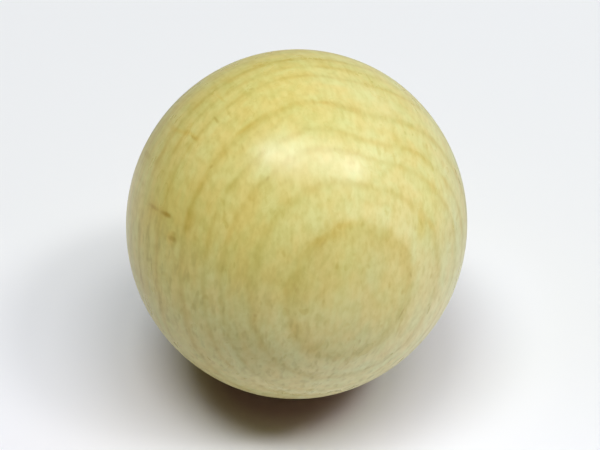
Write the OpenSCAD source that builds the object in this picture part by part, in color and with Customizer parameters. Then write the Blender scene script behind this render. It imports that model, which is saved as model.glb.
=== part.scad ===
/* [Ball] */
// Diameter that the ball is turned to
diameter = 50; // [20:0.5:100]

/* [Preview] */
// Number of facets round the ball on the screen
facets = 128; // [48:16:256]

/* [Hidden] */

// One solid block of wood turned to a ball, with its centre on the origin.
// It has no flat, bore or spigot: the surface is a full sphere.
module ball() {
    color("burlywood")
        sphere(d = diameter, $fn = facets);
}

ball();
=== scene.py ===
import math

import bpy
import numpy as np
from mathutils import Matrix, Vector, noise


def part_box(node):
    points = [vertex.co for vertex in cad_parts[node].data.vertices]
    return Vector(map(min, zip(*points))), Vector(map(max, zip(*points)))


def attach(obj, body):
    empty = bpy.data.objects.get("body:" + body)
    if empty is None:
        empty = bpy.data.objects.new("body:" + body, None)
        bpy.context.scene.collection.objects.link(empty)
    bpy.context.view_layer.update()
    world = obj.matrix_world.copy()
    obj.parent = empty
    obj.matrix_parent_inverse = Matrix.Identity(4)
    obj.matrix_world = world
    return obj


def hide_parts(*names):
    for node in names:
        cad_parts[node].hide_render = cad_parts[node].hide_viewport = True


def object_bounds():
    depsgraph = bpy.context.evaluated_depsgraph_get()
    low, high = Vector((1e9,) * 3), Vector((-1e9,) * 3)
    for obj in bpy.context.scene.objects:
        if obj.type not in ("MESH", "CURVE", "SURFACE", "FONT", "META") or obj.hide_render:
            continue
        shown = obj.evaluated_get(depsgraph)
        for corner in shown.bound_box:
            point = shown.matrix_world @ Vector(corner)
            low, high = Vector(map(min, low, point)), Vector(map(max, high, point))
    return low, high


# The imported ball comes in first, and gives the size and place of everything below
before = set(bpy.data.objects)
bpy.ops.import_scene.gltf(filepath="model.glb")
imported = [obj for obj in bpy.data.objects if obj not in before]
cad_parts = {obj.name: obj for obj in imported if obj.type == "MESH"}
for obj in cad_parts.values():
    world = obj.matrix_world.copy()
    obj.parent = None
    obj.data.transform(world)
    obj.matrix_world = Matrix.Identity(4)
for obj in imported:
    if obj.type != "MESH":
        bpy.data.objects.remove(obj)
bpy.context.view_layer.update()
low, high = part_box("ball")
ballCentre = (low + high) / 2
ballRadius = (high.x - low.x) / 2
millimetre = 0.001
print(f"frame loaded: ball of {2 * ballRadius / millimetre:.1f} mm")

scene = bpy.context.scene
scene.view_settings.view_transform = "Standard"


# How the ball was cut from the board. The growth rings are nearly flat shells square to "depth",
# the fibre runs along "along", and "side" is square to both
grainSetup = {
    "along": (0.140, 0.365, 0.920),    # the way the fibre runs: up, leaning back and a little right
    "depth": (0.306, -0.900, 0.311),   # towards the middle of the tree
    # The wood dried after it was turned and shrank across the grain, so the ball is a touch longer along it
    "growAlong": 0.016,
    "shrinkAcross": 0.012,
}
along = Vector(grainSetup["along"]).normalized()
depth = Vector(grainSetup["depth"])
depth = (depth - along * depth.dot(along)).normalized()
side = along.cross(depth)
lengthwise = 1 + grainSetup["growAlong"]
across = 1 - grainSetup["shrinkAcross"]


def placeOnBall(turn, rise):
    # Direction of a place on the ball: degrees round to the right of the front, and degrees above the middle
    turn = math.radians(turn)
    rise = math.radians(rise)
    return Vector((math.sin(turn) * math.cos(rise), -math.cos(turn) * math.cos(rise), math.sin(rise)))


# Node helpers

class Field:
    # A number that changes over the surface. The usual signs put Math nodes behind it
    def __init__(self, tree, socket):
        self.tree = tree
        self.socket = socket

    def mathNode(self, operation, *others):
        node = self.tree.nodes.new("ShaderNodeMath")
        node.operation = operation
        for slot, value in zip(node.inputs, (self, *others)):
            plug(self.tree, value, slot)
        return Field(self.tree, node.outputs[0])

    def __add__(self, other):
        return self.mathNode("ADD", other)

    def __sub__(self, other):
        return self.mathNode("SUBTRACT", other)

    def __mul__(self, other):
        return self.mathNode("MULTIPLY", other)

    def __truediv__(self, other):
        return self.mathNode("DIVIDE", other)

    def smooth(self, start, end, fromValue=0.0, toValue=1.0):
        # Eases from one value to the other while the field goes from start to end
        node = self.tree.nodes.new("ShaderNodeMapRange")
        node.interpolation_type = "SMOOTHSTEP"
        for slot, value in zip(node.inputs, (self, start, end, fromValue, toValue)):
            plug(self.tree, value, slot)
        return Field(self.tree, node.outputs["Result"])

    def bell(self, width):
        # One where the field is zero, falling away over the width on both sides
        ratio = self / width
        return (ratio * ratio * -0.5).mathNode("EXPONENT")


def plug(tree, value, slot):
    # Puts a number on an input, or links a field or a socket to it
    if isinstance(value, Field):
        tree.links.new(value.socket, slot)
    elif isinstance(value, bpy.types.NodeSocket):
        tree.links.new(value, slot)
    else:
        slot.default_value = value


def combine(tree, x, y, z):
    node = tree.nodes.new("ShaderNodeCombineXYZ")
    for slot, value in zip(node.inputs, (x, y, z)):
        plug(tree, value, slot)
    return node.outputs[0]


def dot(tree, vector, direction):
    node = tree.nodes.new("ShaderNodeVectorMath")
    node.operation = "DOT_PRODUCT"
    plug(tree, vector, node.inputs[0])
    plug(tree, direction, node.inputs[1])
    return Field(tree, node.outputs["Value"])


def vectorMath(tree, operation, a, b):
    node = tree.nodes.new("ShaderNodeVectorMath")
    node.operation = operation
    plug(tree, a, node.inputs[0])
    plug(tree, b, node.inputs[1])
    return node.outputs["Vector"]


def noiseField(tree, vector, name):
    # One of the wood's noises, from 0 to 1 about a half
    cells, detail, rough, seed = noiseSetup[name]
    stretched = vectorMath(tree, "MULTIPLY", vector, cells)
    shifted = vectorMath(tree, "ADD", stretched, [seed * step for step in seedSteps])
    node = tree.nodes.new("ShaderNodeTexNoise")
    plug(tree, shifted, node.inputs["Vector"])
    node.inputs["Scale"].default_value = 1.0
    node.inputs["Detail"].default_value = detail
    node.inputs["Roughness"].default_value = rough
    return Field(tree, node.outputs["Fac"])


def blendColour(tree, mask, base, top, kind="MIX"):
    node = tree.nodes.new("ShaderNodeMix")
    node.data_type = "RGBA"
    node.blend_type = kind
    plug(tree, mask, node.inputs["Factor"])
    plug(tree, base, node.inputs["A"])
    plug(tree, top, node.inputs["B"])
    return node.outputs[2]


def blendShader(tree, mask, base, top):
    node = tree.nodes.new("ShaderNodeMixShader")
    plug(tree, mask, node.inputs[0])
    plug(tree, base, node.inputs[1])
    plug(tree, top, node.inputs[2])
    return node.outputs[0]


def newGroup(name, inputs, outputs):
    # A shader node group with named inputs (name: default) and outputs (name: socket kind)
    group = bpy.data.node_groups.new(name, "ShaderNodeTree")
    for title, default in inputs.items():
        kind = "NodeSocketFloat" if isinstance(default, (int, float)) else "NodeSocketVector"
        slot = group.interface.new_socket(title, in_out="INPUT", socket_type=kind)
        slot.default_value = default
    for title in outputs:
        group.interface.new_socket(title, in_out="OUTPUT", socket_type="NodeSocketFloat")
    start = group.nodes.new("NodeGroupInput")
    end = group.nodes.new("NodeGroupOutput")
    return group, start.outputs, end.inputs


def useGroup(tree, group, **values):
    node = tree.nodes.new("ShaderNodeGroup")
    node.node_tree = group
    for title, value in values.items():
        plug(tree, value, node.inputs[title.replace("_", " ")])
    return node.outputs


# Noises in the wood

noiseSetup = {
    # For each: cells to a ball radius (side, along, depth), detail, roughness and a seed of its own
    "wander": ((2.2, 1.2, 3.0), 1.0, 0.5, 3.0),      # slow waves in the ring lines
    "ragged": ((18.0, 9.0, 12.0), 2.0, 0.5, 5.0),    # their fine unevenness
    "patches": ((9.0, 6.0, 6.0), 2.0, 0.6, 9.0),     # stretches where they are stronger or weaker
    "rays": ((33.0, 20.0, 9.0), 2.0, 0.5, 21.0),
    "flecks": ((22.0, 13.0, 2.2), 1.0, 0.5, 27.0),
    "vessels": ((34.0, 15.0, 34.0), 2.0, 0.5, 31.0),
    "pores": ((26.0, 9.0, 26.0), 1.0, 0.5, 33.0),
    "blotches": ((10.0, 5.0, 12.0), 2.0, 0.5, 37.0),
    "warmth": ((3.0, 1.6, 7.0), 2.0, 0.5, 44.0),     # where the wood is warmer in colour
    "sheen": ((9.0, 3.0, 9.0), 2.0, 0.5, 51.0),      # smoother and rougher places of the finish
    "fray": ((40.0, 30.0, 40.0), 1.0, 0.5, 61.0),    # unevenness of the edges of marks
}
seedSteps = (1.0, 1.7, 2.3)      # how far a seed shifts its noise: side, along, depth


# Growth rings

ringSetup = {
    # Where each ring line lies, how wide it is and how dark. Places and widths are in ball radii,
    # counted from the ball's middle towards the front
    "lines": [
        (0.94, 0.011, 0.95), (0.835, 0.010, 0.75), (0.72, 0.009, 0.65), (0.635, 0.010, 0.70),
        (0.50, 0.014, 0.90), (0.305, 0.011, 0.75), (0.28, 0.009, 0.10), (0.205, 0.012, 0.50),
        (0.10, 0.014, 0.80), (-0.05, 0.014, 0.40), (-0.10, 0.008, 0.55), (-0.14, 0.010, 0.60),
        (-0.26, 0.012, 0.90), (-0.35, 0.010, 0.70), (-0.47, 0.014, 1.00), (-0.56, 0.010, 0.65),
        (-0.66, 0.012, 0.95), (-0.75, 0.010, 0.70), (-0.86, 0.011, 1.00), (-0.94, 0.010, 0.75),
    ],
    # Paler bands between them, in the same terms
    "paleBands": [
        (0.89, 0.045, 0.60), (0.905, 0.012, 0.25), (0.79, 0.016, 0.32), (0.688, 0.016, 0.80),
        (0.59, 0.020, 0.12), (0.42, 0.016, 0.30), (0.36, 0.014, 0.38), (0.245, 0.012, 0.30),
        (0.02, 0.016, 0.25), (-0.20, 0.020, 0.40), (-0.41, 0.020, 0.45), (-0.61, 0.018, 0.40),
        (-0.80, 0.020, 0.40),
    ],
    # The shells bend a little, with side squared and with along squared. Each has a steady part, then how
    # much it changes towards the side and along the fibre
    "bendSide": (-0.020, 0.060, 0.084),
    "bendAlong": (0.020, -0.088, 0.024),
    # Swells in the shells: place (side, along), radius and height
    "swells": [
        ((0.12, 0.775), 0.145, -0.055), ((0.01, -0.31), 0.20, 0.020), ((-0.56, 0.69), 0.16, -0.017),
        ((0.40, 0.66), 0.17, -0.013), ((0.02, 0.88), 0.13, -0.018), ((0.40, -0.45), 0.16, 0.019),
        ((-0.78, -0.57), 0.13, 0.032), ((0.56, 0.78), 0.10, 0.018), ((0.48, 0.18), 0.20, -0.007),
        ((-0.52, -0.74), 0.13, 0.014),
    ],
    "wander": 0.003,      # slow waves in a ring line, in ball radii
    "ragged": 0.008,      # fine unevenness of a ring line
    # A line's strength goes from one share to the other while its noise goes between the limits
    "patchLimits": (0.25, 0.70),
    "patchShares": (0.62, 1.45),
}


def shellDepth(sideways, lengthways, inward):
    # How far in front of the ball's middle the shell through a point lies, on the bent shells
    level = inward
    for way, bend in ((sideways, "bendSide"), (lengthways, "bendAlong")):
        steady, bySide, byAlong = ringSetup[bend]
        level = level + way * way * (sideways * bySide + lengthways * byAlong + steady)
    for (placeSide, placeAlong), radius, height in ringSetup["swells"]:
        bump = (sideways - placeSide).bell(radius) * (lengthways - placeAlong).bell(radius)
        level = level + bump * height
    return level


def makeRingGroup():
    group, given, result = newGroup("growth rings", {"Grain": (0.0, 0.0, 0.0)}, ["Line", "Pale"])
    grain = given["Grain"]
    level = dot(group, grain, (0, 0, 1))
    for name in ("wander", "ragged"):
        level = level + (noiseField(group, grain, name) - 0.5) * (2 * ringSetup[name])
    patchy = noiseField(group, grain, "patches").smooth(*ringSetup["patchLimits"], *ringSetup["patchShares"])
    totals = {}
    for name in ("lines", "paleBands"):
        total = None
        for place, width, strength in ringSetup[name]:
            band = (level - place).bell(width) * strength
            total = band if total is None else total + band
        totals[name] = total
    plug(group, totals["lines"] * patchy, result["Line"])
    plug(group, totals["paleBands"], result["Pale"])
    return group


# Rays and vessels

raySetup = {
    # The value of the noise at which each begins to show, and at which it is full
    "fleckLimits": (0.66, 0.78),
    "poreLimits": (0.52, 0.70),
    # The pores show on the lower side only. The way up that counts here (side, along, depth), and how high
    # that way they begin to show and are full, in ball radii
    "poreWay": (0.35, 0.94, 0.0),
    "poreFrom": (0.1, -0.5),
}


def makeRayGroup():
    group, given, result = newGroup("rays and vessels", {"Grain": (0.0, 0.0, 0.0)},
                                    ["Rays", "Flecks", "Vessels", "Blotches", "Pores"])
    grain = given["Grain"]
    lower = dot(group, grain, raySetup["poreWay"]).smooth(*raySetup["poreFrom"])
    plug(group, noiseField(group, grain, "rays"), result["Rays"])
    plug(group, noiseField(group, grain, "flecks").smooth(*raySetup["fleckLimits"]), result["Flecks"])
    plug(group, noiseField(group, grain, "vessels"), result["Vessels"])
    plug(group, noiseField(group, grain, "blotches"), result["Blotches"])
    plug(group, noiseField(group, grain, "pores").smooth(*raySetup["poreLimits"]) * lower, result["Pores"])
    return group


# Marks that belong to this one ball, and broad patches, most of them painted light and shade

markSetup = {
    # turn and rise place a mark, tilt leans it to the right of upright, all in degrees; then its length
    # and width in mm, and how strong it is
    "dark": [
        # ray flecks on the left
        (-63, 29, 75, 4, 0.9, 0.6), (-55, 31, 75, 3.5, 1.1, 1.0), (-48, 26, 80, 2.5, 1.2, 0.7),
        (-70, 54, 75, 2.5, 0.7, 0.5), (-70, 63, 85, 2.5, 0.6, 0.5),
        # short dashes and dots along the fibre
        (-47, 52, 0, 1, 0.7, 0.4), (-15, 55, 0, 1, 0.7, 0.4), (-90, 76, 0, 1, 0.8, 0.4),
        (-13, 12, 15, 1, 0.8, 0.4), (0, 22, -20, 2.5, 0.9, 0.3), (10, 36, 45, 2, 0.8, 0.3),
        (35, 5, 35, 2.5, 0.6, 0.6), (40, 17, -5, 1.5, 0.6, 0.4), (20, 0, 10, 1.5, 0.6, 0.3),
        (47, 30, 20, 1, 0.6, 0.3),
    ],
    "warm": [
        # round the flecks on the left
        (-58, 30, 75, 8, 3, 0.7), (-49, 26, 80, 5, 3.5, 1.0), (-53, 27, -20, 10, 9, 0.4),
        # where a ring line is stronger: upper left, top, right, and round the middle ring
        (-82, 50, 55, 7, 1.2, 0.8), (-72, 54, 70, 5, 1, 0.8), (-90, 66, 60, 4, 0.6, 0.7),
        (-45, 67, 15, 5, 1.2, 0.8), (-44, 35, -15, 8, 2.5, 0.5), (46, 79, -50, 3, 1, 0.7),
        (82, 51, -25, 2.5, 1, 0.6), (50, 29, 30, 6, 3, 0.9), (55, 27, -15, 4, 1.5, 0.8),
        (10, 37, 65, 6, 2, 0.6), (22, 40, 90, 6, 1.8, 0.5),
    ],
    # broad patches, each a share darker, paler, yellower or greener than the wood round it, most of them
    # painted light and shade
    # painted shade over the middle of the front
    "shade": [
        (-15, 20, -5, 25, 20, 0.9), (0, 22, 0, 9, 12, 1.0), (25, 25, 10, 15, 15, 0.8),
        (-15, 0, 0, 18, 20, 0.8), (10, 30, 5, 13, 8, 0.9),
    ],
    # partly painted light, on the brighter upper left and towards the rims, partly paler wood
    "pale": [
        (-65, 55, -65, 30, 28, 1.0), (50, 40, 40, 8, 12, 1.0), (40, 30, 20, 16, 7, 0.7),
        (30, 40, 20, 6, 18, 1.0), (0, -25, 0, 30, 45, 1.0), (-27, 40, -20, 14, 10, 0.9),
        (40, -10, -10, 30, 33, 0.6), (-70, 80, -70, 20, 25, 0.6), (-65, -15, -50, 23, 20, 0.9),
        (0, 7, 0, 9, 9, 0.7), (-37, 8, 0, 11, 25, 0.6), (-45, -5, 5, 35, 33, 0.6),
        (85, 5, 40, 26, 22, 1.0),
    ],
    "yellow": [
        (-60, 30, -45, 16, 22, 1.0), (-17, 30, -10, 20, 15, 0.8), (0, 22, 0, 9, 12, 1.0),
        (16, 25, 5, 16, 14, 0.6), (-52, 13, -10, 16, 23, 0.9), (32, 12, 5, 20, 13, 0.8),
        (60, 32, 45, 19, 11, 0.8), (-30, 37, -20, 14, 17, 0.4), (180, 58, 90, 44, 14, 0.8),
        (-90, 28, -40, 24, 18, 0.5),
    ],
    # painted highlight: greener and bluer wood at the two lobes of the highlight, so that it shows whiter
    "green": [
        (-15, 62, -15, 12, 14, 1.0), (30, 57, 25, 11, 17, 0.9), (27, 68, 25, 9, 16, 0.6),
    ],
    # the underside towards the front, much paler: a painted reflection of the pale floor
    "foot": [
        (0, -40, 90, 60, 19, 1.0),
    ],
    "deep": 6,            # mm that a mark reaches into the wood
    "fade": (1.0, 0.1),   # where a mark begins to show and where it is full, as shares of its reach
}


def makeMarkGroup():
    # One mark: a lens that is widest in the middle and fades at its edge. Each of its three directions is
    # divided by the lens's reach that way, and comes with how far along it the lens's middle lies
    defaults = {"Point": (0.0, 0.0, 0.0), "Across": (1.0, 0.0, 0.0), "Along": (0.0, 1.0, 0.0),
                "Inward": (0.0, 0.0, 1.0), "Across Middle": 0.0, "Along Middle": 0.0, "Inward Middle": 0.0,
                "Strength": 1.0}
    group, given, result = newGroup("mark", defaults, ["Mask"])
    squares = None
    for title in ("Across", "Along", "Inward"):
        reach = dot(group, given["Point"], given[title]) - given[title + " Middle"]
        squares = reach * reach if squares is None else squares + reach * reach
    inside = squares.mathNode("SQRT").smooth(*markSetup["fade"])
    plug(group, inside * given["Strength"], result["Mask"])
    return group


def addMarks(tree, group, position, marks):
    # The strongest of a list of marks at each place
    strongest = None
    for turn, rise, tilt, long, wide, strength in marks:
        outward = placeOnBall(turn, rise)
        right = Vector((math.cos(math.radians(turn)), math.sin(math.radians(turn)), 0))
        upright = outward.cross(right)
        lean = math.radians(tilt)
        lengthways = upright * math.cos(lean) + right * math.sin(lean)
        lens = {
            "Across": (lengthways.cross(outward), wide / 2),
            "Along": (lengthways, long / 2),
            "Inward": (outward, markSetup["deep"]),
        }
        values = {"Strength": strength}
        for title, (direction, reach) in lens.items():
            direction = direction / (reach * millimetre / ballRadius)
            values[title] = direction
            values[title + "_Middle"] = direction.dot(outward)
        mask = Field(tree, useGroup(tree, group, Point=position, **values)["Mask"])
        strongest = mask if strongest is None else strongest.mathNode("MAXIMUM", mask)
    return strongest


# The wood

woodSetup = {
    "pale": (0.860, 0.795, 0.335),       # plain wood between the ring lines
    "warm": (0.854, 0.762, 0.300),       # warmer wood of some rings
    # Tints, as a share of the wood round them
    "lineTint": (0.900, 0.858, 0.715),
    "bandTint": (1.04, 1.06, 1.14),
    "rayTint": (0.92, 0.90, 0.80),
    "vesselTint": (0.925, 0.91, 0.82),
    "fleckTint": (0.92, 0.89, 0.77),
    "poreTint": (0.87, 0.85, 0.75),
    "darkTint": (0.68, 0.56, 0.26),
    "warmTint": (0.96, 0.87, 0.66),
    "greenBlotch": (0.978, 1.013, 1.03),
    "redBlotch": (1.015, 0.965, 0.91),
    # The broad patches: painted shade; partly painted light, partly paler wood; the wood's own yellower
    # tone; a painted reflection of the floor on the underside; a painted highlight
    "shadePatch": (0.93, 0.925, 0.93),
    "palePatch": (1.06, 1.06, 1.14),
    "yellowPatch": (1.0, 0.97, 0.82),
    "footPatch": (1.12, 1.12, 1.24),
    "greenPatch": (0.96, 1.02, 1.07),
    # Painted light: darker and yellower towards one side, paler and bluer towards the other, along (side,
    # along, depth)
    "paintedLightWay": (0.87, -0.49, 0.0),
    "paintedLightFrom": (0.91, 0.89, 0.72),
    "paintedLightTo": (1.09, 1.11, 1.32),
    # The value of each noise at which it begins to show, and at which it is full
    "warmthLimits": (0.35, 0.72),
    "blotchLimits": (0.3, 0.7),
    "rayLimits": (0.32, 0.72),
    "vesselLimits": (0.40, 0.80),
    "sheenLimits": (0.3, 0.7),
    "fray": 0.01,              # ball radii by which the edges of marks are uneven
    # The finish
    "roughness": (0.27, 0.33),
    "ior": 1.5,
    "bumpStrength": 0.15,
    "bumpHeight": 0.02,        # mm
    "vesselHeight": -1.0,      # vessels lie lower and ring lines higher, as shares of that
    "lineHeight": 0.5,
}


def colour(values):
    return (*values, 1.0)


def makeWood():
    material = bpy.data.materials.new("paleHardwood")
    material.use_nodes = True
    tree = material.node_tree
    shader = tree.nodes["Principled BSDF"]

    # Position in ball radii, turned into the wood's own directions
    coordinates = tree.nodes.new("ShaderNodeTexCoord")
    position = vectorMath(tree, "MULTIPLY", coordinates.outputs["Object"], (1 / ballRadius,) * 3)
    sideways = dot(tree, position, side / across)
    lengthways = dot(tree, position, along / lengthwise)
    inward = dot(tree, position, depth / across)
    shell = shellDepth(sideways, lengthways, inward)
    grain = combine(tree, sideways, lengthways, shell)

    rings = useGroup(tree, makeRingGroup(), Grain=grain)
    rays = useGroup(tree, makeRayGroup(), Grain=grain)

    def tinted(base, mask, name, without=(1.0, 1.0, 1.0)):
        # The colour multiplied by a tint where the mask is one
        tint = blendColour(tree, mask, colour(without), colour(woodSetup[name]))
        return blendColour(tree, 1.0, base, tint, "MULTIPLY")

    warmth = noiseField(tree, grain, "warmth").smooth(*woodSetup["warmthLimits"])
    look = blendColour(tree, warmth, colour(woodSetup["pale"]), colour(woodSetup["warm"]))
    # Painted light: the wood paler and bluer towards one side
    paintedLightShare = dot(tree, grain, woodSetup["paintedLightWay"]).smooth(-1.0, 1.0)
    look = tinted(look, paintedLightShare, "paintedLightTo", woodSetup["paintedLightFrom"])
    blotches = Field(tree, rays["Blotches"]).smooth(*woodSetup["blotchLimits"])
    look = tinted(look, blotches, "redBlotch", woodSetup["greenBlotch"])
    look = tinted(look, rings["Line"], "lineTint")
    look = tinted(look, rings["Pale"], "bandTint")
    look = tinted(look, Field(tree, rays["Rays"]).smooth(*woodSetup["rayLimits"]), "rayTint")
    look = tinted(look, Field(tree, rays["Vessels"]).smooth(*woodSetup["vesselLimits"]), "vesselTint")
    look = tinted(look, rays["Flecks"], "fleckTint")
    look = tinted(look, rays["Pores"], "poreTint")

    # The marks, with their edges frayed a little
    fray = (noiseField(tree, grain, "fray") - 0.5) * woodSetup["fray"]
    offset = combine(tree, fray, fray * -1.0, fray)
    frayed = vectorMath(tree, "ADD", position, offset)
    marks = makeMarkGroup()
    # Broad patches, in turn: painted shade, partly painted light, the wood's own yellower tone, a painted
    # highlight and a painted reflection of the floor
    for broadPatch in ("shade", "pale", "yellow", "green", "foot"):
        look = tinted(look, addMarks(tree, marks, frayed, markSetup[broadPatch]), broadPatch + "Patch")
    look = tinted(look, addMarks(tree, marks, frayed, markSetup["warm"]), "warmTint")
    look = tinted(look, addMarks(tree, marks, frayed, markSetup["dark"]), "darkTint")
    plug(tree, look, shader.inputs["Base Color"])

    smoothest, roughest = woodSetup["roughness"]
    sheen = noiseField(tree, grain, "sheen").smooth(*woodSetup["sheenLimits"], smoothest, roughest)
    plug(tree, sheen, shader.inputs["Roughness"])
    shader.inputs["IOR"].default_value = woodSetup["ior"]

    bump = tree.nodes.new("ShaderNodeBump")
    bump.inputs["Strength"].default_value = woodSetup["bumpStrength"]
    bump.inputs["Distance"].default_value = woodSetup["bumpHeight"] * millimetre
    dips = Field(tree, rays["Vessels"]) * woodSetup["vesselHeight"]
    ridges = Field(tree, rings["Line"]) * woodSetup["lineHeight"]
    plug(tree, dips + ridges, bump.inputs["Height"])
    plug(tree, bump.outputs["Normal"], shader.inputs["Normal"])
    return material


# The ball itself

ballSetup = {
    "panels": 128,          # squares along each edge of the cube that the ball's mesh is blown up from
    "waviness": 0.03,       # mm that the hand-sanded surface wanders in and out
    "waveCells": 2.5,       # waves to a ball radius
}


def makeBall():
    # A cube of small squares is blown up to a ball, so that the mesh is even all over
    panels = ballSetup["panels"]
    lattice = {}
    points = []
    faces = []

    def vertexAt(corner):
        if corner not in lattice:
            lattice[corner] = len(points)
            points.append([math.tan((2 * c / panels - 1) * math.pi / 4) for c in corner])
        return lattice[corner]

    for axis in range(3):
        second = (axis + 1) % 3
        third = (axis + 2) % 3
        for level in (0, panels):
            for i in range(panels):
                for j in range(panels):
                    ring = []
                    for di, dj in ((0, 0), (1, 0), (1, 1), (0, 1)):
                        corner = [0, 0, 0]
                        corner[axis] = level
                        corner[second] = i + di
                        corner[third] = j + dj
                        ring.append(vertexAt(tuple(corner)))
                    faces.append(ring if level else ring[::-1])

    directions = np.array(points)
    directions /= np.linalg.norm(directions, axis=1)[:, None]
    cells = ballSetup["waveCells"]
    waves = np.array([noise.noise(Vector(d) * cells) for d in directions])
    radii = ballRadius + ballSetup["waviness"] * millimetre * waves
    places = directions * radii[:, None] * across
    places += np.outer(places @ np.array(along), along) * (lengthwise / across - 1)
    mesh = bpy.data.meshes.new("turnedBall")
    mesh.from_pydata(places.tolist(), [], faces)
    mesh.polygons.foreach_set("use_smooth", [True] * len(mesh.polygons))
    mesh.update()
    ball = bpy.data.objects.new("turnedBall", mesh)
    ball.location = ballCentre
    scene.collection.objects.link(ball)
    mesh.materials.append(makeWood())
    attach(ball, "root")
    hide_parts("ball")
    print(f"ball made: {len(mesh.vertices)} points, {2 * len(mesh.polygons)} triangles")


makeBall()
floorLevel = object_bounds()[0].z      # the finished ball's lowest point


# Floor and background

floorSetup = {
    "size": 4.0,                         # m
    "roughness": 0.9,
    # As the camera sees it, behind the ball and in front of it, which way that is, and the stretch in m
    # over which it changes
    # Painted light: the floor paler and bluer towards the front
    "back": (0.838, 0.841, 0.835),
    "front": (0.960, 0.955, 1.0),
    "way": (0.25, 0.96, 0.0),
    "slope": (0.02, -0.05),
    # What the ball mirrors of it: plain towards the front, and darker behind, over this stretch in m
    "mirrorWay": (-0.5, -1.0, 0.0),
    "mirrorSlope": (-0.06, -0.015),
    "mirrorDark": (0.42, 0.42, 0.42),
    "mirrorPale": (0.86, 0.85, 0.82),
    # Tints on it near the ball: each one's place, how far it reaches and within what it is full, all in m.
    # Painted shadow: darkest and brownest under the ball, a little darker round that; painted light: paler
    # far out on the right
    "tints": [
        ((-0.002, -0.005, 0.0), 0.0162, 0.0085, (0.56, 0.395, 0.50)),
        ((0.007, 0.0, 0.0), 0.030, 0.012, (0.925, 0.895, 0.915)),
        ((-0.014, -0.006, 0.0), 0.016, 0.002, (0.995, 0.965, 0.965)),
        ((0.026, 0.010, 0.0), 0.020, 0.004, (1.02, 1.02, 1.045)),
    ],
    # As the light that it throws back sees it, on the left and on the right, and the stretch in m between
    "bounceLeft": (0.65, 0.65, 0.68),
    "bounceRight": (0.76, 0.76, 0.84),
    "bounceSlope": (-0.02, 0.03),
    "fade": (0.12, 0.40),                # m from the middle over which it fades to the plain background
    "background": (0.87, 0.87, 0.87),
}


def makeFloorMaterial():
    material = bpy.data.materials.new("paleFloor")
    material.use_nodes = True
    tree = material.node_tree
    shader = tree.nodes["Principled BSDF"]
    shader.inputs["Roughness"].default_value = floorSetup["roughness"]
    shader.inputs["Specular IOR Level"].default_value = 0.0      # no gloss
    path = tree.nodes.new("ShaderNodeLightPath")
    seen = Field(tree, path.outputs["Is Camera Ray"])
    mirrored = Field(tree, path.outputs["Is Glossy Ray"])
    coordinates = tree.nodes.new("ShaderNodeTexCoord")
    spot = coordinates.outputs["Object"]
    # Painted light: paler and bluer towards the front
    forward = dot(tree, spot, floorSetup["way"]).smooth(*floorSetup["slope"])
    paper = blendColour(tree, forward, colour(floorSetup["back"]), colour(floorSetup["front"]))
    nearFront = dot(tree, spot, floorSetup["mirrorWay"]).smooth(*floorSetup["mirrorSlope"])
    mirror = blendColour(tree, nearFront, colour(floorSetup["mirrorDark"]), colour(floorSetup["mirrorPale"]))
    toRight = dot(tree, spot, (1, 0, 0)).smooth(*floorSetup["bounceSlope"])
    bounce = blendColour(tree, toRight, colour(floorSetup["bounceLeft"]), colour(floorSetup["bounceRight"]))

    def distance(place):
        length = tree.nodes.new("ShaderNodeVectorMath")
        length.operation = "LENGTH"
        plug(tree, vectorMath(tree, "SUBTRACT", spot, place), length.inputs[0])
        return Field(tree, length.outputs["Value"])

    away = distance((0, 0, 0))
    # Painted shadow under the ball and painted light on the floor to its right
    for place, reach, full, tint in floorSetup["tints"]:
        near = distance(place).smooth(reach, full)
        share = blendColour(tree, near, colour((1, 1, 1)), colour(tint))
        paper = blendColour(tree, 1.0, paper, share, "MULTIPLY")
    look = blendColour(tree, seen, bounce, paper)
    look = blendColour(tree, mirrored, look, mirror)
    plug(tree, look, shader.inputs["Base Color"])

    # Far from the ball the camera sees a plain background, and from below it sees no floor at all
    far = away.smooth(*floorSetup["fade"]) * seen
    plain = tree.nodes.new("ShaderNodeEmission")
    plain.inputs["Color"].default_value = colour(floorSetup["background"])
    clear = tree.nodes.new("ShaderNodeBsdfTransparent")
    geometry = tree.nodes.new("ShaderNodeNewGeometry")
    surface = blendShader(tree, far, shader.outputs[0], plain.outputs[0])
    surface = blendShader(tree, geometry.outputs["Backfacing"], surface, clear.outputs[0])
    plug(tree, surface, tree.nodes["Material Output"].inputs["Surface"])
    return material


def makeFloor():
    half = floorSetup["size"] / 2
    corners = [(-half, -half, 0), (half, -half, 0), (half, half, 0), (-half, half, 0)]
    mesh = bpy.data.meshes.new("floor")
    mesh.from_pydata(corners, [], [(0, 1, 2, 3)])
    floor = bpy.data.objects.new("floor", mesh)
    floor.location = (0, 0, floorLevel)
    scene.collection.objects.link(floor)
    mesh.materials.append(makeFloorMaterial())


makeFloor()


def makeWorld():
    world = bpy.data.worlds.new("studio")
    scene.world = world
    world.use_nodes = True
    tree = world.node_tree
    background = tree.nodes["Background"]
    background.inputs["Color"].default_value = colour(floorSetup["background"])
    path = tree.nodes.new("ShaderNodeLightPath")
    plug(tree, Field(tree, path.outputs["Is Camera Ray"]), background.inputs["Strength"])


makeWorld()


# Lamps: soft panels round the ball, all facing it

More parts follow.
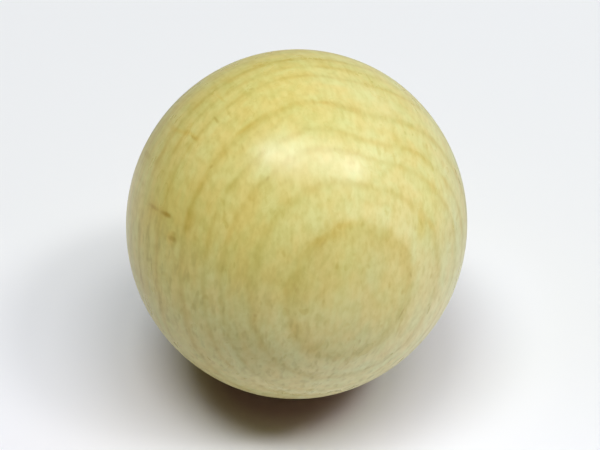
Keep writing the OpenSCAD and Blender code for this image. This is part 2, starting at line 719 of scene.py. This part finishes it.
lampSetup = {
    "distance": 2.0,      # m from the ball
    # degrees to the right of overhead, degrees to the back, width and depth in degrees, watts, colour
    "panels": {
        "leftWindow": (-10, -4, 28, 14, 18.2, (1, 1, 1)),
        "middleWindow": (16, -4, 18, 12, 6.9, (1, 1, 1)),
        "rightWindow": (35, -8, 11, 10, 7.7, (1, 1, 1)),
        "nearEdge": (12, -14, 48, 9, 9.5, (1, 1, 1)),
        "rightWall": (48, 16, 22, 22, 3.3, (1, 1, 1)),
        "skyBehind": (36, 50, 40, 40, 6.1, (0.38, 0.61, 1)),
    },
}


def makeLamps():
    distance = lampSetup["distance"]
    for name, (toRight, toBack, wide, deep, watts, tint) in lampSetup["panels"].items():
        upward = Vector((math.tan(math.radians(toRight)), math.tan(math.radians(toBack)), 1)).normalized()
        crosswise = (Vector((1, 0, 0)) - upward * upward.x).normalized()
        lamp = bpy.data.lights.new(name, "AREA")
        lamp.shape = "RECTANGLE"
        lamp.size = 2 * distance * math.tan(math.radians(wide / 2))
        lamp.size_y = 2 * distance * math.tan(math.radians(deep / 2))
        lamp.energy = watts
        lamp.color = tint
        panel = bpy.data.objects.new(name, lamp)
        panel.location = ballCentre + upward * distance
        panel.rotation_euler = Matrix((crosswise, upward.cross(crosswise), upward)).transposed().to_euler()
        scene.collection.objects.link(panel)
    print(f"lamps made: {len(lampSetup['panels'])}")


makeLamps()


# Camera

cameraSetup = {
    "elevation": 42,       # degrees above the horizon
    "lens": 85,            # mm
    "sensor": 36,          # mm
    "ballShare": 0.5757,   # width of the ball as a share of the picture's width
    "shift": (0.0058, -0.0008),
}


def makeCamera():
    camera = bpy.data.cameras.new("camera")
    camera.lens = cameraSetup["lens"]
    camera.sensor_width = cameraSetup["sensor"]
    camera.shift_x, camera.shift_y = cameraSetup["shift"]
    halfAngle = math.atan(cameraSetup["ballShare"] / 2 * cameraSetup["sensor"] / cameraSetup["lens"])
    distance = ballRadius / math.sin(halfAngle)
    elevation = math.radians(cameraSetup["elevation"])
    holder = bpy.data.objects.new("camera", camera)
    holder.location = ballCentre + Vector((0, -math.cos(elevation), math.sin(elevation))) * distance
    holder.rotation_euler = (math.pi / 2 - elevation, 0, 0)
    scene.collection.objects.link(holder)
    scene.camera = holder
    print(f"camera made: {distance / millimetre:.0f} mm from the ball")


makeCamera()
